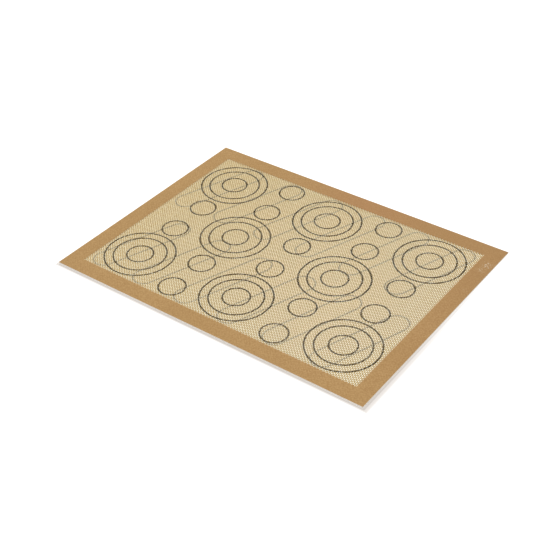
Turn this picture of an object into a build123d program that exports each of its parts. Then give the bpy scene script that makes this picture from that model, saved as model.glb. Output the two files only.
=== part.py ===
from build123d import *

import os
from math import cos, radians, sin

# Silicone baking mat: an open glass mesh coated in silicone, sealed all round by a
# solid silicone border, with piping guides printed on both faces.
# X runs along the mat, Y across it and Z up. The origin is the centre of the underside.

# Outline
mat_length = 400.0
mat_width = 300.0
border_width = 20.0
corner_radius = 0.8
edge_seal = 1.5  # silicone beyond the cut ends of the yarns

# Layers
border_skin = 0.25  # border silicone, on each face of the mesh
coat_film = 0.1  # thin silicone coat, on each face of the mesh
warp_thickness = 0.235
weft_thickness = 0.235
bond_line = 0.01  # left between one bonded piece and the next

# Mesh: warp yarns run across the mat, weft yarns along it
warp_pitch = 1.84
weft_pitch = 1.78
warp_yarn_width = 1.0
weft_yarn_width = 1.0

# Print
ink_film = 0.03
line_width = 1.6

# Ring guides: a target is three rings round one centre, and small rings stand between targets
small_ring_diameter = 30.0
middle_ring_diameter = 60.0
large_ring_diameter = 80.0
ring_margin = 3.2  # from the outermost lines to the border
ring_gap = 3.9  # from a target to the small ring beside it

# Eclair guides: rows of leaning outlines with round ends
eclair_length = 120.0
eclair_width = 25.0
eclair_lean = 20.0  # degrees from the Y axis, towards +X
eclair_side_margin = 4.2  # from the outermost lines to the border, along X
eclair_end_margin = 1.7  # and along Y
eclair_columns = 6
eclair_rows = 2

# Worked out from the sizes above
panel_length = mat_length - 2 * border_width
panel_width = mat_width - 2 * border_width
coat_length = panel_length - 2 * bond_line
coat_width = panel_width - 2 * bond_line
rim_length = mat_length - 2 * edge_seal
rim_width = mat_width - 2 * edge_seal
mesh_length = rim_length - 2 * bond_line
mesh_width = rim_width - 2 * bond_line

# Heights of the undersides, from the bottom layer up
underside_coat_level = border_skin - coat_film
eclair_print_level = underside_coat_level - bond_line - ink_film
warp_level = border_skin + bond_line
weft_level = warp_level + warp_thickness + bond_line
rim_top = weft_level + weft_thickness + bond_line
ring_print_level = rim_top + coat_film + bond_line
mat_thickness = rim_top + border_skin

# The pitches are drawn out a little, so that whole gaps fill the panel
warp_gaps = round(panel_length / warp_pitch) - 1
weft_gaps = round(panel_width / weft_pitch) - 1
warp_step = (panel_length - warp_yarn_width) / warp_gaps
weft_step = (panel_width - weft_yarn_width) / weft_gaps
warp_gap = warp_step - warp_yarn_width
weft_gap = weft_step - weft_yarn_width
# Each gap runs from the first crossing yarn to the last
warp_gap_length = panel_width - 2 * weft_yarn_width
weft_gap_length = panel_length - 2 * warp_yarn_width

# Rings: the middle and the outer columns have a target at each end and two small rings
# between them. The columns between those have a target in the middle and two small rings
# on each side of it.
target_columns_shares = (-1, 0, 1)
between_columns_shares = (-0.5, 0.5)
sides = (-1, 1)
large_ring_reach = (large_ring_diameter + line_width) / 2
small_ring_reach = (small_ring_diameter + line_width) / 2
target_to_small_ring = large_ring_reach + ring_gap + small_ring_reach
outer_column_x = panel_length / 2 - ring_margin - large_ring_reach
end_target_y = panel_width / 2 - ring_margin - large_ring_reach
end_small_ring_y = panel_width / 2 - ring_margin - small_ring_reach

target_centres = []
small_ring_centres = []
for share in target_columns_shares:
    for side in sides:
        target_centres.append((share * outer_column_x, side * end_target_y))
        inner_y = side * (end_target_y - target_to_small_ring)
        small_ring_centres.append((share * outer_column_x, inner_y))
for share in between_columns_shares:
    target_centres.append((share * outer_column_x, 0))
    for side in sides:
        small_ring_centres.append((share * outer_column_x, side * target_to_small_ring))
        small_ring_centres.append((share * outer_column_x, side * end_small_ring_y))

# Eclairs: how far an outline reaches from its centre, and the pitches that fill the panel
eclair_half_straight = (eclair_length - eclair_width) / 2
eclair_end_reach = (eclair_width + line_width) / 2
eclair_reach_x = eclair_half_straight * sin(radians(eclair_lean)) + eclair_end_reach
eclair_reach_y = eclair_half_straight * cos(radians(eclair_lean)) + eclair_end_reach
eclair_span_x = panel_length - 2 * (eclair_side_margin + eclair_reach_x)
eclair_span_y = panel_width - 2 * (eclair_end_margin + eclair_reach_y)
eclair_pitch = eclair_span_x / (eclair_columns - 1)
eclair_row_pitch = eclair_span_y / (eclair_rows - 1)

os.makedirs("parts", exist_ok=True)


def finish(node, name):
    """Label a finished piece and write its file."""
    node.part.label = name
    export_step(node.part, f"parts/{name}.step")


# Glass yarns. Under the border they lie in solid silicone, so the gaps are in the panel alone.
with BuildPart() as warp_yarns:
    with BuildSketch(Plane.XY.offset(warp_level)):
        Rectangle(mesh_length, mesh_width)
        with GridLocations(warp_step, warp_gap_length, warp_gaps, 1):
            Rectangle(warp_gap, warp_gap_length, mode=Mode.SUBTRACT)
    extrude(amount=warp_thickness)
finish(warp_yarns, "warp_yarns")

with BuildPart() as weft_yarns:
    with BuildSketch(Plane.XY.offset(weft_level)):
        Rectangle(mesh_length, mesh_width)
        with GridLocations(weft_gap_length, weft_step, 1, weft_gaps):
            Rectangle(weft_gap_length, weft_gap, mode=Mode.SUBTRACT)
    extrude(amount=weft_thickness)
finish(weft_yarns, "weft_yarns")

# The coat follows the yarns that it covers, and stops at the border
with BuildPart() as underside_coat:
    with BuildSketch(Plane.XY.offset(underside_coat_level)):
        Rectangle(coat_length, coat_width)
        with GridLocations(warp_step, warp_gap_length, warp_gaps, 1):
            Rectangle(warp_gap, warp_gap_length, mode=Mode.SUBTRACT)
    extrude(amount=coat_film)
finish(underside_coat, "underside_coat")

with BuildPart() as top_coat:
    with BuildSketch(Plane.XY.offset(rim_top)):
        Rectangle(coat_length, coat_width)
        with GridLocations(weft_gap_length, weft_step, 1, weft_gaps):
            Rectangle(weft_gap_length, weft_gap, mode=Mode.SUBTRACT)
    extrude(amount=coat_film)
finish(top_coat, "top_coat")

# The lower border is a shallow tray: its rim closes the cut ends of the yarns
with BuildPart() as underside_border:
    with BuildSketch():
        RectangleRounded(mat_length, mat_width, corner_radius)
        Rectangle(panel_length, panel_width, mode=Mode.SUBTRACT)
    extrude(amount=border_skin)
    with BuildSketch(Plane.XY.offset(border_skin)):
        RectangleRounded(mat_length, mat_width, corner_radius)
        Rectangle(rim_length, rim_width, mode=Mode.SUBTRACT)
    extrude(amount=rim_top - border_skin)
finish(underside_border, "underside_border")

with BuildPart() as top_border:
    with BuildSketch(Plane.XY.offset(rim_top)):
        RectangleRounded(mat_length, mat_width, corner_radius)
        Rectangle(panel_length, panel_width, mode=Mode.SUBTRACT)
    extrude(amount=border_skin)
finish(top_border, "top_border")


def print_rings(name, diameter, centres):
    """Print one line of ink round each centre, on the top coat."""
    with BuildPart() as rings:
        with BuildSketch(Plane.XY.offset(ring_print_level)):
            with Locations(*centres):
                Circle((diameter + line_width) / 2)
                Circle((diameter - line_width) / 2, mode=Mode.SUBTRACT)
        extrude(amount=ink_film)
    finish(rings, name)


print_rings("small_ring_print", small_ring_diameter, target_centres + small_ring_centres)
print_rings("middle_ring_print", middle_ring_diameter, target_centres)
print_rings("large_ring_print", large_ring_diameter, target_centres)

with BuildPart() as eclair_print:
    with BuildSketch(Plane.XY.offset(eclair_print_level)):
        with GridLocations(eclair_pitch, eclair_row_pitch, eclair_columns, eclair_rows):
            SlotOverall(eclair_length + line_width, eclair_width + line_width, 90 - eclair_lean)
            SlotOverall(
                eclair_length - line_width,
                eclair_width - line_width,
                90 - eclair_lean,
                mode=Mode.SUBTRACT,
            )
    extrude(amount=ink_film)
finish(eclair_print, "eclair_print")

print(f"mat {mat_length} x {mat_width} x {mat_thickness} mm, {warp_gaps} x {weft_gaps} gaps")
print(f"gap {warp_gap:.3f} x {weft_gap:.3f} mm")
print(f"ring columns {outer_column_x / 2:.2f} mm apart, target to small ring {target_to_small_ring:.2f} mm")
print(f"eclair pitch {eclair_pitch:.2f} mm, rows {eclair_row_pitch:.2f} mm apart")
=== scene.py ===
from math import cos, pi, radians, sin

import bpy
import numpy as np
from mathutils import Matrix, Vector


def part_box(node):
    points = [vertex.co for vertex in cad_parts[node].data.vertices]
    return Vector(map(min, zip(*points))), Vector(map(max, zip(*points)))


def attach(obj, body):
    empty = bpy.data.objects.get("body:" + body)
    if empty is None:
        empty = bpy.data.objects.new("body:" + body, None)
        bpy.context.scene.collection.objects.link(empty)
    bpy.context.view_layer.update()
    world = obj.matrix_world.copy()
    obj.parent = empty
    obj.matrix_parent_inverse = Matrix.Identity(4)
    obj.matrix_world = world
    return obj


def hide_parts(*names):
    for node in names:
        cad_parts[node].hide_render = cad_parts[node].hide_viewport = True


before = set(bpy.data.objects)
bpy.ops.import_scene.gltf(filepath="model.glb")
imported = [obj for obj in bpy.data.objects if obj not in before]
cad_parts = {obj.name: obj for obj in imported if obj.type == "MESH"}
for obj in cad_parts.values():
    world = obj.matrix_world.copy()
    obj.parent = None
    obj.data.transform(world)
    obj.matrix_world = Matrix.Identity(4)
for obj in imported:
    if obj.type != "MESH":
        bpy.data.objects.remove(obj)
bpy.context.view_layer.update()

# Silicone baking mat: woven glass yarns in a thin silicone coat, a solid silicone border,
# and ink lines that lie on the yarns. Lengths are in metres, and MM turns millimetres into them.
MM = 0.001

# The outline and the levels of the layers, from the frame
border_low, border_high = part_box("top_border")
panel_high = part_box("underside_coat")[1]
half_length, half_width = border_high.x, border_high.y
panel_half_length, panel_half_width = panel_high.x, panel_high.y
border_width = half_length - panel_half_length
skin_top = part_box("warp_yarns")[0].z
rim_top = border_low.z
mat_top = border_high.z
yarn_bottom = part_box("underside_coat")[0].z
yarn_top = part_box("top_coat")[1].z
edge_seal = half_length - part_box("warp_yarns")[1].x

# Yarns
warp_count = 196
weft_count = 146
yarn_width = 1.0 * MM
yarn_thickness = 0.32 * MM
yarn_tuck = 2.0 * MM  # how far the yarns are drawn under the border
shoulder_share = 0.22  # of a pitch: half the length of a crest
crest_share = 0.65  # of the width: the flat on top of a yarn
yarn_pieces = 4  # pieces that each set of yarns is drawn in
drift = 0.12 * MM  # how far a yarn wanders from side to side, in a long and a short wave
long_wander = 0.13
short_wander = 0.047
width_spread = 0.045  # how much the width of a yarn varies, as a share
crest_spread = 0.07  # the same for the height of its crests

# Print
line_width = 1.6 * MM
ink_film = 0.03 * MM
ink_reach = 1.3 * line_width  # a facet with its middle this close to a line may take ink
small_ring = 30.0 * MM
middle_ring = 60.0 * MM
large_ring = 80.0 * MM
eclair_length = 120.0 * MM
eclair_width = 25.0 * MM
eclair_lean = radians(20)
eclair_columns = 6

# How softly the mat lies
lift_height = 0.25 * MM
swell_along = 0.31
swell_across = 0.23
ripple_along = 0.17
ripple_across = 0.21

random = np.random.default_rng(7)


def lift(x, y):
    """How far the mat stands off the floor at a place: it is soft, and never lies quite flat."""
    along = np.sin(2 * pi * x / swell_along + 0.7)
    across = np.sin(2 * pi * y / swell_across - 0.4)
    ripple = np.sin(2 * pi * (x / ripple_along + y / ripple_across))
    return lift_height * (1 + 0.45 * along + 0.35 * across + 0.2 * ripple) / 2


def draw_mesh(name, points, faces, material, uv):
    """A piece of the mat from its points and faces, lifted as the mat lies."""
    points = points.reshape(-1, 3).copy()
    points[:, 2] += lift(points[:, 0], points[:, 1])
    if isinstance(faces, np.ndarray):
        faces = faces.reshape(-1, faces.shape[-1])
    counts = np.array([len(face) for face in faces], dtype=np.int32)
    loops = np.concatenate(faces).astype(np.int32)
    mesh = bpy.data.meshes.new(name)
    mesh.vertices.add(len(points))
    mesh.vertices.foreach_set("co", points.astype(np.float32).ravel())
    mesh.loops.add(len(loops))
    mesh.loops.foreach_set("vertex_index", loops)
    mesh.polygons.add(len(faces))
    mesh.polygons.foreach_set("loop_start", np.cumsum(counts, dtype=np.int32) - counts)
    mesh.polygons.foreach_set("use_smooth", np.ones(len(faces), bool))
    mesh.update(calc_edges=True)
    layer = mesh.uv_layers.new(name="OFBake")
    layer.data.foreach_set("uv", uv.astype(np.float32).ravel())
    mesh.materials.append(material)
    piece = bpy.data.objects.new(name, mesh)
    bpy.context.scene.collection.objects.link(piece)
    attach(piece, "root")
    return piece


def grid_faces(index, row, column):
    """Faces of a grid, where index gives the number of the point at a row and a column."""
    return np.stack(
        [
            index(row, column),
            index(row + 1, column),
            index(row + 1, column + 1),
            index(row, column + 1),
        ],
        axis=-1,
    )


# Nodes


def node(tree, kind, inputs=None, **settings):
    """A node with its settings made and its inputs set or linked."""
    made = tree.nodes.new(kind)
    for key, value in settings.items():
        setattr(made, key, value)
    for key, value in (inputs or {}).items():
        if isinstance(value, bpy.types.NodeSocket):
            tree.links.new(value, made.inputs[key])
        else:
            made.inputs[key].default_value = value
    return made


def maths(tree, operation, *values, clamp=False):
    """The result of one sum."""
    return node(
        tree, "ShaderNodeMath", dict(enumerate(values)), operation=operation, use_clamp=clamp
    ).outputs[0]


def between(tree, value, low, high, smooth=True):
    """0 where the value is at low and 1 where it is at high."""
    return node(
        tree,
        "ShaderNodeMapRange",
        {"Value": value, "From Min": low, "From Max": high},
        interpolation_type="SMOOTHSTEP" if smooth else "LINEAR",
    ).outputs["Result"]


def mixed(tree, share, first, second, blend="MIX"):
    """A colour between two colours, or the second laid over the first by another blend."""
    inputs = {0: share, 6: first, 7: second}
    return node(tree, "ShaderNodeMix", inputs, data_type="RGBA", blend_type=blend).outputs[2]


def noise(tree, place, stretch, scale, detail=2.0):
    """Noise over the object, drawn out by a stretch along each axis."""
    stretched = node(
        tree, "ShaderNodeVectorMath", {0: place, 1: stretch}, operation="MULTIPLY"
    ).outputs[0]
    return node(
        tree, "ShaderNodeTexNoise", {"Vector": stretched, "Scale": scale, "Detail": detail}
    ).outputs["Fac"]


def srgb(red, green, blue):
    """A colour, given as it looks on a screen."""
    shares = np.array((red, green, blue)) / 255
    linear = np.where(shares <= 0.04045, shares / 12.92, ((shares + 0.055) / 1.055) ** 2.4)
    return (*(float(v) for v in linear), 1.0)


def start_material(name):
    """A material with a Principled shader. Gives the material, its tree, shader and coordinates."""
    material = bpy.data.materials.new(name)
    material.use_nodes = True
    tree = material.node_tree
    tree.nodes.clear()
    shader = tree.nodes.new("ShaderNodeBsdfPrincipled")
    output = tree.nodes.new("ShaderNodeOutputMaterial")
    tree.links.new(shader.outputs[0], output.inputs[0])
    place = node(tree, "ShaderNodeTexCoord").outputs["Object"]
    return material, tree, shader, place


def add_bump(tree, shader, height, distance):
    """Fine relief from a height, in the material alone."""
    bump = node(tree, "ShaderNodeBump", {"Height": height, "Distance": distance})
    tree.links.new(bump.outputs[0], shader.inputs["Normal"])


def past_sides(tree, axes, half_x, half_y):
    """How far a place lies past the sides of a rectangle: on x, on y, and the greater of the two."""
    past_x = maths(tree, "SUBTRACT", maths(tree, "ABSOLUTE", axes.outputs[0]), half_x)
    past_y = maths(tree, "SUBTRACT", maths(tree, "ABSOLUTE", axes.outputs[1]), half_y)
    return past_x, past_y, maths(tree, "MAXIMUM", past_x, past_y)


def spot(tree, place, centre, radius):
    """1 at a place on the mat, falling to 0 at a radius from it."""
    apart = node(
        tree, "ShaderNodeVectorMath", {0: place, 1: centre}, operation="DISTANCE"
    ).outputs["Value"]
    return between(tree, apart, radius, 0.0)


# Print layout, from the boxes of the print's nodes


def ring_reach(diameter):
    """Half the width of a printed ring over the outside of its line."""
    return (diameter + line_width) / 2


large_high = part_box("large_ring_print")[1]
small_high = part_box("small_ring_print")[1]
target_x = large_high.x - ring_reach(large_ring)
target_y = large_high.y - ring_reach(large_ring)
end_small_y = small_high.y - ring_reach(small_ring)
ring_gap = 3.9 * MM
target_to_small = ring_reach(large_ring) + ring_gap + ring_reach(small_ring)

target_centres = [(x, y) for x in (-target_x, 0, target_x) for y in (-target_y, target_y)]
target_centres += [(-target_x / 2, 0), (target_x / 2, 0)]
small_centres = [
    (x, side * (target_y - target_to_small)) for x in (-target_x, 0, target_x) for side in (-1, 1)
]
small_centres += [
    (x, side * y)
    for x in (-target_x / 2, target_x / 2)
    for side in (-1, 1)
    for y in (target_to_small, end_small_y)
]

eclair_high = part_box("eclair_print")[1]
eclair_half_straight = (eclair_length - eclair_width) / 2
eclair_end_reach = (eclair_width + line_width) / 2
eclair_outer_x = eclair_high.x - eclair_half_straight * sin(eclair_lean) - eclair_end_reach
eclair_row_y = eclair_high.y - eclair_half_straight * cos(eclair_lean) - eclair_end_reach
eclair_pitch = 2 * eclair_outer_x / (eclair_columns - 1)


def off_rings(x, y, diameter, centres):
    """How far a place is from the nearest ring of a size."""
    nearest = np.full(x.shape, np.inf)
    for centre_x, centre_y in centres:
        apart = np.abs(np.hypot(x - centre_x, y - centre_y) - diameter / 2)
        nearest = np.minimum(nearest, apart)
    return nearest


def off_eclairs(x, y):
    """How far a place is from the nearest eclair outline."""
    nearest = np.full(x.shape, np.inf)
    for column in range(eclair_columns):
        for row in (-1, 1):
            from_x = x + eclair_outer_x - column * eclair_pitch
            from_y = y - row * eclair_row_y
            along = from_x * sin(eclair_lean) + from_y * cos(eclair_lean)
            across = from_x * cos(eclair_lean) - from_y * sin(eclair_lean)
            past = along - np.clip(along, -eclair_half_straight, eclair_half_straight)
            apart = np.abs(np.hypot(across, past) - eclair_width / 2)
            nearest = np.minimum(nearest, apart)
    return nearest


def eclair_mask(tree, place):
    """1 on the eclair outlines, as nodes."""
    axes = node(tree, "ShaderNodeSeparateXYZ", {0: place})
    x = maths(tree, "WRAP", axes.outputs[0], eclair_pitch, 0.0)
    x = maths(tree, "SUBTRACT", x, eclair_pitch / 2)
    y = maths(tree, "WRAP", axes.outputs[1], 2 * eclair_row_y, 0.0)
    y = maths(tree, "SUBTRACT", y, eclair_row_y)
    along = maths(
        tree,
        "MULTIPLY_ADD",
        x,
        sin(eclair_lean),
        maths(tree, "MULTIPLY", y, cos(eclair_lean)),
    )
    across = maths(
        tree,
        "MULTIPLY_ADD",
        x,
        cos(eclair_lean),
        maths(tree, "MULTIPLY", y, -sin(eclair_lean)),
    )
    past = maths(tree, "SUBTRACT", maths(tree, "ABSOLUTE", along), eclair_half_straight)
    past = maths(tree, "MAXIMUM", past, 0.0)
    square = maths(tree, "MULTIPLY_ADD", past, past, maths(tree, "MULTIPLY", across, across))
    off = maths(tree, "SUBTRACT", maths(tree, "SQRT", square), eclair_width / 2)
    line = between(tree, maths(tree, "ABSOLUTE", off), 0.88 * line_width, 0.32 * line_width)
    # The outlines repeat without end, so those past the last column are left out
    reach = eclair_columns / 2 * eclair_pitch
    held = maths(tree, "LESS_THAN", maths(tree, "ABSOLUTE", axes.outputs[0]), reach)
    return maths(tree, "MULTIPLY", line, held)


# Materials

# The yarns: the heights between which painted shade low down turns into a painted highlight on the
# crests, how far in the border tints them, their relief and their colours
valley_level = 0.45 * MM
crest_level = 1.15 * MM
rim_tint_start = -2.2 * MM
rim_tint_full = 0.2 * MM
fibre_relief = 0.04 * MM
tone_colour = srgb(251, 250, 245)
patch_colour = srgb(226, 190, 130)
yellow_colour = srgb(249, 243, 222)
rim_colour = srgb(177, 141, 93)
show_through_colour = srgb(84, 82, 76)
stain_colour = srgb(176, 104, 52)

# The border: where its edge is painted paler as painted light, the reach of its browned places, its
# relief and its colours
edge_light_start = -0.32 * MM
edge_light_full = -0.1 * MM
aged_reach = 0.4
browned_x = 0.02
browned_reach = 0.11
border_relief = 0.02 * MM
border_colours = (srgb(181, 146, 97), srgb(189, 154, 105))
grain_colour = srgb(158, 121, 76)
dip_colour = srgb(120, 90, 52)
aged_colour = srgb(157, 119, 82)
browned_colour = srgb(168, 120, 85)
# The cut edge's colours are partly its own pale glass ends and partly painted light
cut_edge_colours = (srgb(244, 235, 222), srgb(253, 248, 240))

# The ink
ink_relief = 0.01 * MM
ink_colours = (srgb(26, 26, 26), srgb(44, 42, 40))
thin_ink_colour = srgb(108, 101, 88)


def make_yarn_material(name, crest, valley, stretch, patchiness, through_crest):
    """Silicone-coated glass yarn: a painted highlight on its crests and painted shade low down, with
    fine fibres along it.
    """
    material, tree, shader, place = start_material(name)
    axes = node(tree, "ShaderNodeSeparateXYZ", {0: place})
    # Painted highlight and shade: the colour runs from the valley colour low down to the crest
    # colour on the crests
    up = between(tree, axes.outputs[2], valley_level, crest_level)
    colour = mixed(tree, up, srgb(*valley), srgb(*crest))
    # Each yarn has its own tone, which drifts along it, and the coat is patchy
    tone = between(tree, noise(tree, place, stretch, 1.0, 3.0), 0.3, 0.7, smooth=False)
    colour = mixed(tree, tone, colour, tone_colour, "MULTIPLY")
    patches = between(tree, noise(tree, place, (1, 1, 1), 14.0, 3.0), 0.35, 0.7)
    share = maths(tree, "MULTIPLY", patches, patchiness)
    colour = mixed(tree, share, colour, patch_colour)
    # It has yellowed towards the back left
    slant = maths(tree, "MULTIPLY_ADD", axes.outputs[1], -0.5, axes.outputs[0])
    yellowed = between(tree, slant, 0.2, -0.2, smooth=False)
    colour = mixed(tree, yellowed, colour, yellow_colour, "MULTIPLY")
    # The border's silicone tints the yarns that run beside it
    past = past_sides(tree, axes, panel_half_length, panel_half_width)[2]
    rim = between(tree, past, rim_tint_start, rim_tint_full, smooth=False)
    colour = mixed(tree, maths(tree, "MULTIPLY", rim, 0.6), colour, rim_colour)
    # The print on the underside shows through, most of all where the yarn dips to it
    through = node(
        tree,
        "ShaderNodeMapRange",
        {"Value": up, "From Min": 0.0, "From Max": 1.0, "To Min": 0.6, "To Max": through_crest},
    ).outputs["Result"]
    through = maths(tree, "MULTIPLY", eclair_mask(tree, place), through)
    colour = mixed(tree, through, colour, show_through_colour)
    for centre, radius in small_stains:
        share = maths(tree, "MULTIPLY", spot(tree, place, centre, radius), 0.7)
        colour = mixed(tree, share, colour, stain_colour)
    tree.links.new(colour, shader.inputs["Base Color"])
    fibres = noise(tree, place, tuple(v * 8 for v in stretch), 4.0, 2.0)
    add_bump(tree, shader, fibres, fibre_relief)
    shader.inputs["Roughness"].default_value = 0.6
    shader.inputs["Specular IOR Level"].default_value = 0.2
    return material


def make_border_material():
    """Solid silicone, matt, with the buried mesh showing faintly through it."""
    material, tree, shader, place = start_material("border_silicone")
    clouds = between(tree, noise(tree, place, (1, 1, 1), 9.0, 4.0), 0.3, 0.7)
    colour = mixed(tree, clouds, *border_colours)
    grain = between(tree, noise(tree, place, (1, 1, 1), 650.0, 3.0), 0.3, 0.7)
    colour = mixed(tree, maths(tree, "MULTIPLY", grain, 0.7), colour, grain_colour)
    axes = node(tree, "ShaderNodeSeparateXYZ", {0: place})
    weave = maths(
        tree,
        "MULTIPLY",
        maths(tree, "SINE", maths(tree, "MULTIPLY", axes.outputs[0], pi / warp_step)),
        maths(tree, "SINE", maths(tree, "MULTIPLY", axes.outputs[1], pi / weft_step)),
    )
    dips = between(tree, weave, 1.0, -1.0, smooth=False)
    colour = mixed(tree, maths(tree, "MULTIPLY", dips, 0.16), colour, dip_colour)
    # The silicone has darkened towards one corner
    aged = spot(tree, place, (half_length, half_width, mat_top), aged_reach)
    colour = mixed(tree, maths(tree, "MULTIPLY", aged, 0.45), colour, aged_colour)
    # It has browned a little in the middle of the back
    browned = spot(tree, place, (browned_x, half_width, mat_top), browned_reach)
    colour = mixed(tree, maths(tree, "MULTIPLY", browned, 0.33), colour, browned_colour)
    # Dirt and knocks at two corners, and pale scuffs along one side
    specks = between(tree, noise(tree, place, (1, 1, 1), 620.0, 3.0), 0.53, 0.64)
    for centre, radius, strength, tone in border_marks:
        share = maths(tree, "MULTIPLY", spot(tree, place, centre, radius), specks)
        share = maths(tree, "MULTIPLY", share, strength, clamp=True)
        colour = mixed(tree, share, colour, srgb(*tone))
    # The cut edge is pale, where the ends of the glass show through the thin seal, and paler still
    # as painted light on its shaded face; the rounded top edge turns pale early, also as painted
    # light
    facing = node(tree, "ShaderNodeNewGeometry").outputs["True Normal"]
    facing = node(tree, "ShaderNodeSeparateXYZ", {0: facing}).outputs[2]
    sideways = between(tree, maths(tree, "ABSOLUTE", facing), 0.97, 0.6)
    ends = between(tree, noise(tree, place, (1, 1, 0.3), 700.0, 2.0), 0.3, 0.7)
    pale = mixed(tree, ends, *cut_edge_colours)
    past = past_sides(tree, axes, half_length, half_width)[2]
    outer = maths(tree, "GREATER_THAN", past, -border_width / 2)
    outer = maths(tree, "MULTIPLY", sideways, outer)
    # The outer band of the top face is painted paler too: painted light against the shade on the
    # rounded edge
    thin = between(tree, past, edge_light_start, edge_light_full)
    outer = maths(tree, "MAXIMUM", outer, maths(tree, "MULTIPLY", thin, 0.75))
    colour = mixed(tree, outer, colour, pale)
    tree.links.new(colour, shader.inputs["Base Color"])
    height = maths(tree, "MULTIPLY_ADD", weave, 0.6, grain)
    add_bump(tree, shader, height, border_relief)
    roughness = between(tree, clouds, -8.0, 2.0, smooth=False)
    tree.links.new(roughness, shader.inputs["Roughness"])
    shader.inputs["Specular IOR Level"].default_value = 0.03
    return material


def make_ink_material():
    """Dark silicone ink, thin enough in places for the coat to show."""
    material, tree, shader, place = start_material("print_ink")
    worn = between(tree, noise(tree, place, (1, 1, 1), 700.0, 3.0), 0.45, 0.75)
    thin = between(tree, noise(tree, place, (1, 1, 1), 24.0, 4.0), 0.42, 0.68)
    colour = mixed(tree, worn, *ink_colours)
    colour = mixed(tree, maths(tree, "MULTIPLY", thin, 0.42), colour, thin_ink_colour)
    tree.links.new(colour, shader.inputs["Base Color"])
    add_bump(tree, shader, worn, ink_relief)
    shader.inputs["Roughness"].default_value = 0.7
    shader.inputs["Specular IOR Level"].default_value = 0.15
    return material


# Marks of use: centre and radius, and on the border strength and colour too
small_stains = (
    ((-0.136, 0.087, yarn_top), 0.0014),
    ((0.003, 0.091, yarn_top), 0.0014),
    ((0.065, 0.113, yarn_top), 0.0014),
    ((0.066, -0.062, yarn_top), 0.0012),
)
border_marks = (
    ((half_length, half_width, mat_top), 0.005, 3.0, (58, 44, 34)),
    ((half_length - 0.009, half_width - 0.001, mat_top), 0.0025, 2.0, (70, 54, 40)),
    ((half_length, -half_width, mat_top), 0.0028, 3.0, (52, 40, 34)),
    ((half_length - 0.008, 0.115, mat_top), 0.010, 0.7, (222, 208, 184)),
    ((half_length - 0.010, 0.103, mat_top), 0.008, 0.5, (214, 194, 162)),
    ((half_length - 0.007, 0.062, mat_top), 0.004, 0.7, (206, 180, 148)),
)


def yarn_centres(count, half_extent):
    """Where the yarns of a set lie, side by side, and their pitch."""
    reach = half_extent - yarn_width / 2
    return np.linspace(-reach, reach, count), 2 * reach / (count - 1)


warp_x, warp_step = yarn_centres(warp_count, panel_half_length)
weft_y, weft_step = yarn_centres(weft_count, panel_half_width)
# Both sets are the same coated yarn: the warp is painted pale as a painted sheen along its fibres,
# and the weft is painted darker as painted shade
warp_sheen_material = make_yarn_material(
    "warp_yarn",
    crest=(255, 252, 235),
    valley=(253, 248, 228),
    stretch=(560.0, 22.0, 300.0),
    patchiness=0.06,
    through_crest=0.1,
)
weft_shaded_material = make_yarn_material(
    "weft_yarn",
    crest=(185, 153, 85),
    valley=(177, 145, 78),
    stretch=(22.0, 560.0, 300.0),
    patchiness=0.15,
    through_crest=0.65,
)
border_material = make_border_material()
ink_material = make_ink_material()


# Yarns

# Section of a yarn, as shares of half its width and half its thickness, from one side over the top
section_shares = np.array(
    [(-1, 0), (-crest_share, 1), (crest_share, 1), (1, 0), (crest_share, -1), (-crest_share, -1)]
)
corners = len(section_shares)

# The map of a tube's strip, in shares: the run of the tube, and a narrow field for each cap
tube_left = 0.01
tube_run = 0.96
cap_width = 0.008
cap_low, cap_high = 0.3, 0.7
cap_lefts = (0.0, 0.0, 0.975, 0.984)

mid_level = (yarn_bottom + yarn_top) / 2
wave_height = (yarn_top - yarn_bottom - yarn_thickness) / 2


def over(warp, weft):
    """1 where the warp yarn passes over the weft yarn and -1 where it passes under."""
    return 1 - 2 * ((warp + weft) % 2)


def lay_yarns(centres, crossings, step, half_run, side):
    """Section points of a set of yarns, as (yarn, station, corner, (along, sideways, up))."""
    shoulders = crossings[:, None] + shoulder_share * step * np.array((-1, 1))
    end = half_run + yarn_tuck
    along = np.concatenate([[-end], shoulders.ravel(), [end]])
    yarns, stations = len(centres), len(along)
    sign = side * over(np.arange(yarns)[:, None], np.arange(len(crossings))[None, :])
    height = np.zeros((yarns, stations))
    height[:, 1:-1] = np.repeat(sign * random.normal(1, crest_spread, sign.shape), 2, axis=1)
    height = mid_level + wave_height * np.clip(height, -1, 1)
    # Every yarn wanders a little from its straight line, and swells and thins
    waves = random.uniform(0, 2 * pi, (2, yarns))
    wander = np.sin(2 * pi * along[None, :] / long_wander + waves[0][:, None])
    wander += np.sin(2 * pi * along[None, :] / short_wander + waves[1][:, None])
    sideways = centres[:, None] + drift / 4 * wander
    width = yarn_width / 2 * random.normal(1, width_spread, (yarns, stations))
    points = np.empty((yarns, stations, corners, 3))
    points[..., 0] = along[None, :, None]
    points[..., 1] = sideways[..., None] + width[..., None] * section_shares[:, 0]
    points[..., 2] = height[..., None] + yarn_thickness / 2 * section_shares[:, 1]
    return points


warp_points = lay_yarns(warp_x, weft_y, weft_step, panel_half_width, 1)[..., [1, 0, 2]]
weft_points = lay_yarns(weft_y, warp_x, warp_step, panel_half_length, -1)


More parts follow.
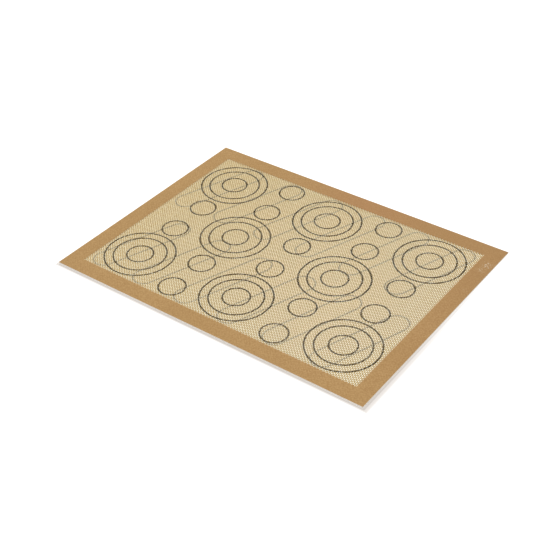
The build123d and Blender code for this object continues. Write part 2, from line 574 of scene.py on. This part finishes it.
def tube_faces(yarns, stations):
    """Faces of a row of closed six-sided tubes, and the map that lays each along a strip."""
    yarn, station, corner = np.meshgrid(
        np.arange(yarns), np.arange(stations - 1), np.arange(corners), indexing="ij"
    )

    def index(at_station, at_corner):
        return (yarn * stations + at_station) * corners + at_corner % corners

    faces = grid_faces(index, station, corner).reshape(-1, 4)
    along = np.stack([station, station + 1, station + 1, station], axis=-1) / (stations - 1)
    strip = np.stack([corner, corner, corner + 1, corner + 1], axis=-1) + 0.5
    strip = (yarn[..., None] + strip / (corners + 1)) / yarns
    uv = np.stack([tube_left + tube_run * along, strip], axis=-1).reshape(-1, 4, 2)
    # Two faces close each end of each tube, and lie in narrow fields at the ends of its strip
    first = np.arange(yarns) * stations * corners
    last = first + (stations - 1) * corners
    field = np.array([(0, cap_low), (cap_width, cap_low), (cap_width, cap_high), (0, cap_high)])
    starts = (first, first, last, last)
    orders = ((0, 1, 2, 3), (0, 3, 4, 5), (3, 2, 1, 0), (5, 4, 3, 0))
    caps, cap_uv = [], []
    for start, order, left in zip(starts, orders, cap_lefts):
        caps.append(start[:, None] + np.array(order))
        placed = np.empty((yarns, 4, 2))
        placed[..., 0] = left + field[:, 0]
        placed[..., 1] = (np.arange(yarns)[:, None] + field[:, 1]) / yarns
        cap_uv.append(placed)
    return np.concatenate([faces, *caps]), np.concatenate([uv, *cap_uv])


def draw_yarns(name, points, material, replaced, run_axis):
    """Draws a set of yarns as pieces side by side."""
    for number, part in enumerate(np.array_split(points, yarn_pieces), start=1):
        faces, uv = tube_faces(part.shape[0], part.shape[1])
        if run_axis == 1:
            faces, uv = faces[:, ::-1], uv[:, ::-1]
        piece = draw_mesh(f"{name}_{number}", part, faces, material, uv)
        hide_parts(*replaced)


draw_yarns("coated_warp", warp_points, warp_sheen_material, ("warp_yarns", "underside_coat"), 1)
draw_yarns("coated_weft", weft_points, weft_shaded_material, ("weft_yarns", "top_coat"), 0)


# Print: a film of ink on each yarn that a line crosses, so the line breaks at the open gaps

cells_along = 2
cells_across = 1
top_facets = (0, 1, 2)
bottom_facets = (3, 4, 5)
warp_bleed = 0.04 * MM  # how far the ink creeps past the line
weft_bleed = 0.27 * MM
uneven_bleed = 0.1 * MM
creep_along = 1.9 * MM
creep_across = 2.3 * MM
weld = 0.001 * MM  # corners of the ink this close are one
hiding_share = 0.46  # of its width: how far to each side a yarn hides the one below


def line_edge(x, y, bleed):
    """How far the ink reaches from the middle of a line: it creeps unevenly."""
    creep = np.sin(2 * pi * x / creep_along + 2 * np.sin(2 * pi * y / creep_across))
    return line_width / 2 + bleed + uneven_bleed * creep


def cut_off(cell, past_edge):
    """The part of a cell that lies within the line."""
    kept = []
    for i in range(len(cell)):
        here, ahead = past_edge[i - 1], past_edge[i]
        if here <= 0:
            kept.append(cell[i - 1])
        if (here <= 0) != (ahead <= 0):
            kept.append(cell[i - 1] + here / (here - ahead) * (cell[i] - cell[i - 1]))
    return np.array(kept)


def inked_cells(points, off_line, facets, covered, bleed):
    """Small faces on the yarns' surface, cut off at the edge of the line."""
    found = []
    for facet in facets:
        a = points[:, :-1, facet].reshape(-1, 3)
        b = points[:, 1:, facet].reshape(-1, 3)
        c = points[:, 1:, (facet + 1) % corners].reshape(-1, 3)
        d = points[:, :-1, (facet + 1) % corners].reshape(-1, 3)
        centre = (a + b + c + d) / 4
        near = off_line(centre[:, 0], centre[:, 1]) < ink_reach
        a, b, c, d = (v[near, None, None] for v in (a, b, c, d))
        u = np.linspace(0, 1, cells_along + 1)[None, :, None, None]
        v = np.linspace(0, 1, cells_across + 1)[None, None, :, None]
        grid = (1 - v) * ((1 - u) * a + u * b) + v * ((1 - u) * d + u * c)
        cells = np.stack(
            [grid[:, :-1, :-1], grid[:, 1:, :-1], grid[:, 1:, 1:], grid[:, :-1, 1:]], axis=3
        ).reshape(-1, 4, 3)
        x, y = cells[..., 0], cells[..., 1]
        past_edge = off_line(x, y) - line_edge(x, y, bleed)
        middle = cells.mean(axis=1)
        keep = (past_edge.min(axis=1) < 0) & ~covered(middle[:, 0], middle[:, 1])
        cells, past_edge = cells[keep], past_edge[keep]
        whole = past_edge.max(axis=1) <= 0
        found += list(cells[whole])
        found += [cut_off(*pair) for pair in zip(cells[~whole], past_edge[~whole])]
    return found


def crossing_below(x, y, top_side, is_warp):
    """True where the other set of yarns hides this one from the side that is printed."""
    warp = np.rint((x - warp_x[0]) / warp_step).astype(int)
    weft = np.rint((y - weft_y[0]) / weft_step).astype(int)
    off_warp = np.abs(x - warp_x[0] - warp * warp_step)
    off_weft = np.abs(y - weft_y[0] - weft * weft_step)
    crossing = (off_weft if is_warp else off_warp) < hiding_share * yarn_width
    warp_wins = over(warp, weft) * top_side > 0
    return crossing & (warp_wins != is_warp)


def print_ink(name, off_line, top_side, replaced):
    """Draws the film of one print node on both sets of yarns."""
    facets = top_facets if top_side > 0 else bottom_facets
    cells = []
    for points, is_warp, bleed in (
        (warp_points, True, warp_bleed),
        (weft_points, False, weft_bleed),
    ):

        def covered(x, y):
            return crossing_below(x, y, top_side, is_warp)

        found = inked_cells(points, off_line, facets, covered, bleed)
        cells += [cell[::-1] for cell in found] if is_warp else found
    merged, index = np.unique(
        np.rint(np.concatenate(cells) / weld), axis=0, return_inverse=True
    )
    points = merged * weld
    # Corners that fell together are one corner, and what is left with two is no face
    faces = []
    for face in np.split(index.ravel(), np.cumsum([len(cell) for cell in cells])[:-1]):
        face = face[face != np.roll(face, 1)]
        if len(face) > 2 and len(set(face)) == len(face):
            faces.append(face)
    low, high = points.min(0), points.max(0)
    uv = (points[np.concatenate(faces), :2] - low[:2]) / (high - low)[:2]
    film = draw_mesh(name, points, faces, ink_material, uv)
    solid = film.modifiers.new("film", "SOLIDIFY")
    solid.thickness = ink_film
    solid.offset = 1.0
    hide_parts(replaced)


def off_small(x, y):
    return off_rings(x, y, small_ring, target_centres + small_centres)


def off_middle(x, y):
    return off_rings(x, y, middle_ring, target_centres)


def off_large(x, y):
    return off_rings(x, y, large_ring, target_centres)


print_ink("small_ring_ink", off_small, 1, "small_ring_print")
print_ink("middle_ring_ink", off_middle, 1, "middle_ring_print")
print_ink("large_ring_ink", off_large, 1, "large_ring_print")
print_ink("eclair_ink", off_eclairs, -1, "eclair_print")


# Border

edge_round = 0.14 * MM
corner_radius = 0.8 * MM
scallop = 0.35 * MM  # how far the silicone runs in along a yarn that dips at the border
scallop_spread = 0.25  # how much that varies, as a share
gap_flood = 0.3  # how far it runs in between two yarns, as a share
strip_margin = 0.02  # round a side's strip of the map

# The lip, where the silicone runs down onto the mesh
lip_width = 1.6 * MM
shoulder_in, shoulder_drop = 1.0 * MM, 0.115 * MM
brow_in, brow_rise = 0.3 * MM, 0.02 * MM
toe_drop = 0.05 * MM
belly_out = 0.05 * MM
under_lip_in, under_lip_rise = 0.35 * MM, 0.04 * MM
# How the top face falls towards it: distance from the panel, and drop
border_fall = ((8 * MM, 0.02 * MM), (5 * MM, 0.055 * MM), (2.5 * MM, 0.09 * MM))
fall_start = 11 * MM


def border_stations():
    """Round the border, as (x share, y share, flood), with two stations for each yarn."""
    sides = []
    for centres, step, count, half in (
        (warp_x, warp_step, warp_count, panel_half_length),
        (weft_y, weft_step, weft_count, panel_half_width),
    ):
        share = np.stack([centres, centres + step / 2], axis=1).ravel()[:-1] / half
        flood = np.stack([over(np.arange(count), 0) * -1.0, np.full(count, gap_flood)], axis=1)
        sides.append((np.append(-1, share), np.append(0, flood.ravel()[:-1])))
    (along, flood_along), (across, flood_across) = sides
    one = np.ones_like
    x = np.concatenate([along, one(across), -along, -one(across)])
    y = np.concatenate([-one(along), across, one(along), -across])
    return x, y, np.concatenate([flood_along, flood_across, flood_along, flood_across])


def draw_border(name, profile, replaced):
    """A frame with a section of (distance in from the edge, height, share of the flood)."""
    x_share, y_share, flood = border_stations()
    inwards, height, flood_share = (np.array(v) for v in zip(*profile))
    flow = scallop * (flood[:, None] + random.normal(0, scallop_spread, (len(flood), 1)))
    inset = inwards[None, :] + flow * flood_share[None, :]
    points = np.empty((len(flood), len(profile), 3))
    points[..., 0] = x_share[:, None] * (half_length - inset)
    points[..., 1] = y_share[:, None] * (half_width - inset)
    points[..., 2] = height
    # The corners of the outline are rounded off
    is_corner = (np.abs(x_share) == 1) & (np.abs(y_share) == 1)
    cut_in = (1 - 0.5**0.5) * np.clip(corner_radius - inwards, 0, None)
    for row in np.flatnonzero(is_corner):
        points[row, :, 0] -= x_share[row] * cut_in
        points[row, :, 1] -= y_share[row] * cut_in
    rows, columns = points.shape[:2]
    row, column = np.meshgrid(np.arange(rows), np.arange(columns), indexing="ij")

    def index(at_row, at_column):
        return at_row % rows * columns + at_column % columns

    faces = grid_faces(index, row, column)
    # Each side of the frame is a strip of the map, and the section runs across the strip
    reach = np.hypot(np.diff(inwards, append=inwards[0]), np.diff(height, append=height[0]))
    reach = np.concatenate([[0], np.cumsum(reach)])
    reach = strip_margin + (1 - 2 * strip_margin) * reach / reach[-1]
    long_rows = warp_count * 2
    short_rows = weft_count * 2
    starts = np.cumsum([0, long_rows, short_rows, long_rows, short_rows])
    side = np.searchsorted(starts, np.arange(rows), side="right") - 1
    first = (np.arange(rows) - starts[side]) / np.diff(starts)[side]
    second = (np.arange(rows) + 1 - starts[side]) / np.diff(starts)[side]
    uv = np.empty((rows, columns, 4, 2))
    uv[..., 0, 0] = uv[..., 3, 0] = first[:, None]
    uv[..., 1, 0] = uv[..., 2, 0] = second[:, None]
    uv[..., 0, 1] = uv[..., 1, 1] = (side[:, None] + reach[:-1]) / 4
    uv[..., 2, 1] = uv[..., 3, 1] = (side[:, None] + reach[1:]) / 4
    piece = draw_mesh(name, points, faces, border_material, uv)
    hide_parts(replaced)


def across_border(start, end, height):
    """Evenly spaced stations across the border, at one height."""
    return [(float(inset), height, 0.0) for inset in np.linspace(start, end, 8)]


lip_root = border_width - lip_width
draw_border(
    "top_border_skin",
    [
        (0.0, rim_top, 0.0),
        (0.0, mat_top - edge_round, 0.0),
        (0.3 * edge_round, mat_top - 0.3 * edge_round, 0.0),
        (edge_round, mat_top, 0.0),
        *across_border(3 * edge_round, border_width - fall_start, mat_top),
        *[(border_width - away, mat_top - drop, 0.0) for away, drop in border_fall],
        (border_width - shoulder_in, mat_top - shoulder_drop, 0.5),
        (border_width - brow_in, yarn_top + brow_rise, 0.9),
        (border_width, yarn_top - toe_drop, 1.0),
        (border_width + belly_out, mid_level, 1.0),
        (border_width, skin_top, 1.0),
        (lip_root, skin_top, 0.0),
        (lip_root, rim_top, 0.0),
    ],
    "top_border",
)
draw_border(
    "underside_border_skin",
    [
        (0.0, rim_top, 0.0),
        (edge_seal, rim_top, 0.0),
        (edge_seal, skin_top, 0.0),
        (border_width, skin_top, 1.0),
        (border_width, yarn_bottom, 1.0),
        (border_width - under_lip_in, under_lip_rise, 0.7),
        *across_border(lip_root, 3 * edge_round, 0.0),
        (edge_round, 0.0, 0.0),
        (0.3 * edge_round, 0.3 * edge_round, 0.0),
        (0.0, edge_round, 0.0),
    ],
    "underside_border",
)


# Floor, light and camera

floor_size = 40.0
floor_level = -0.02 * MM
floor_paint = (0.7, 0.69, 0.68, 1)
# What the floor adds of its own: in the shadow, elsewhere, close to the mat and under the mesh
shadow_glow = (0.065, 0.03, 0.0, 1)
white_glow = (0.5, 0.5, 0.5, 1)
edge_glow = (0.36, 0.37, 0.37, 1)
mesh_glow = (0.44, 0.30, 0.09, 1)
# Distances out from the mat: where its shadow fades, and how far its cut edge lights the floor
fade_start = 2.5 * MM
fade_end = 6 * MM
front_lit = 1.2 * MM
side_lit = 1.5 * MM
under_edge = -0.5 * MM

room_light = 0.865
lamp_light = 0.27  # what the lamp adds on the floor, as a share of a white
lamp_height = radians(17)
lamp_turn = radians(52)  # from the Y axis, towards -X
lamp_spread = radians(1)

camera_place = (0.5879, -0.7957, 0.7295)
camera_azimuth = radians(36.729)
camera_elevation = radians(37.541)
camera_roll = radians(-1.16)
camera_lens = 71.17  # this and the sensor in millimetres
sensor = 36.0


def make_floor():
    """A plain pale floor that is white to the camera and keeps the mat's shadow."""
    mesh = bpy.data.meshes.new("floor")
    ends = ((-1, -1), (1, -1), (1, 1), (-1, 1))
    points = [(floor_size * x, floor_size * y, floor_level) for x, y in ends]
    mesh.from_pydata(points, [], [(0, 1, 2, 3)])
    floor = bpy.data.objects.new("floor", mesh)
    bpy.context.scene.collection.objects.link(floor)
    material = bpy.data.materials.new("floor")
    material.use_nodes = True
    tree = material.node_tree
    tree.nodes.clear()
    path = node(tree, "ShaderNodeLightPath")
    seen = maths(tree, "ADD", path.outputs["Is Camera Ray"], path.outputs["Is Glossy Ray"])
    seen = maths(tree, "ADD", seen, path.outputs["Is Transmission Ray"], clamp=True)
    # The floor is brighter towards the back, where the shadow shows less
    place = node(tree, "ShaderNodeTexCoord").outputs["Object"]
    axes = node(tree, "ShaderNodeSeparateXYZ", {0: place})
    back = between(tree, axes.outputs[1], -0.12, 0.15)
    tint = mixed(tree, back, shadow_glow, white_glow)
    past_x, past_y, _ = past_sides(tree, axes, half_length, half_width)
    # The shadow is widest on the right, and there is none on the left
    right = maths(tree, "SUBTRACT", axes.outputs[0], half_length)
    left = maths(tree, "SUBTRACT", maths(tree, "MULTIPLY", axes.outputs[0], -1), half_length)
    right = maths(tree, "MULTIPLY", right, 0.6)
    left = maths(tree, "MULTIPLY", left, 4)
    shadow = maths(tree, "MAXIMUM", right, left)
    faded = between(tree, maths(tree, "MAXIMUM", shadow, past_y), fade_start, fade_end)
    tint = mixed(tree, faded, tint, white_glow)
    # The pale cut edge lights it close in front of the mat, and weakly beside it
    in_front = between(tree, past_y, front_lit, under_edge)
    beside = maths(tree, "MULTIPLY", between(tree, past_x, side_lit, 0), 0.4)
    close = maths(tree, "MAXIMUM", between(tree, past_x, 0, under_edge), beside)
    close = maths(tree, "MULTIPLY", in_front, close)
    tint = mixed(tree, close, tint, edge_glow, "ADD")
    # Under the mesh it is lit by light that the yarns have tinted
    past_panel = past_sides(tree, axes, panel_half_length, panel_half_width)[2]
    clear = maths(tree, "GREATER_THAN", past_panel, 0.0)
    tint = mixed(tree, clear, mesh_glow, tint)
    paint = node(tree, "ShaderNodeBsdfDiffuse", {"Color": floor_paint})
    glow = node(tree, "ShaderNodeEmission", {"Color": tint, "Strength": seen})
    added = node(tree, "ShaderNodeAddShader", {0: paint.outputs[0], 1: glow.outputs[0]})
    output = node(tree, "ShaderNodeOutputMaterial")
    tree.links.new(added.outputs[0], output.inputs[0])
    mesh.materials.append(material)


def make_lights():
    """A soft room of even light, and one low lamp from the back left that draws the shadow."""
    world = bpy.data.worlds.new("studio")
    bpy.context.scene.world = world
    world.use_nodes = True
    tree = world.node_tree
    tree.nodes.clear()
    path = node(tree, "ShaderNodeLightPath")
    room = node(tree, "ShaderNodeBackground", {"Color": (1, 1, 1, 1), "Strength": room_light})
    white = node(tree, "ShaderNodeBackground", {"Color": (1, 1, 1, 1), "Strength": 1.0})
    mix = node(
        tree,
        "ShaderNodeMixShader",
        {0: path.outputs["Is Camera Ray"], 1: room.outputs[0], 2: white.outputs[0]},
    )
    output = node(tree, "ShaderNodeOutputWorld")
    tree.links.new(mix.outputs[0], output.inputs[0])
    lamp = bpy.data.lights.new("low_lamp", "SUN")
    lamp.energy = lamp_light * pi / sin(lamp_height)
    lamp.angle = lamp_spread
    holder = bpy.data.objects.new("low_lamp", lamp)
    to_lamp = Vector(
        (
            -sin(lamp_turn) * cos(lamp_height),
            cos(lamp_turn) * cos(lamp_height),
            sin(lamp_height),
        )
    )
    holder.rotation_mode = "QUATERNION"
    holder.rotation_quaternion = to_lamp.to_track_quat("Z", "Y")
    bpy.context.scene.collection.objects.link(holder)


def make_camera():
    """The photograph's view, solved from the corners and rings of the mat."""
    camera = bpy.data.cameras.new("camera")
    camera.lens = camera_lens
    camera.sensor_width = sensor
    camera.clip_start = 0.05
    camera.clip_end = 200
    ahead = Vector(
        (
            -cos(camera_elevation) * sin(camera_azimuth),
            cos(camera_elevation) * cos(camera_azimuth),
            -sin(camera_elevation),
        )
    )
    right = ahead.cross(Vector((0, 0, 1))).normalized()
    up = right.cross(ahead)
    axis_x = right * cos(camera_roll) + up * sin(camera_roll)
    axis_y = up * cos(camera_roll) - right * sin(camera_roll)
    turn = Matrix((axis_x, axis_y, -ahead)).transposed()
    holder = bpy.data.objects.new("camera", camera)
    holder.matrix_world = Matrix.Translation(camera_place) @ turn.to_4x4()
    bpy.context.scene.collection.objects.link(holder)
    bpy.context.scene.camera = holder


make_floor()
make_lights()
make_camera()
bpy.context.scene.view_settings.view_transform = "Standard"
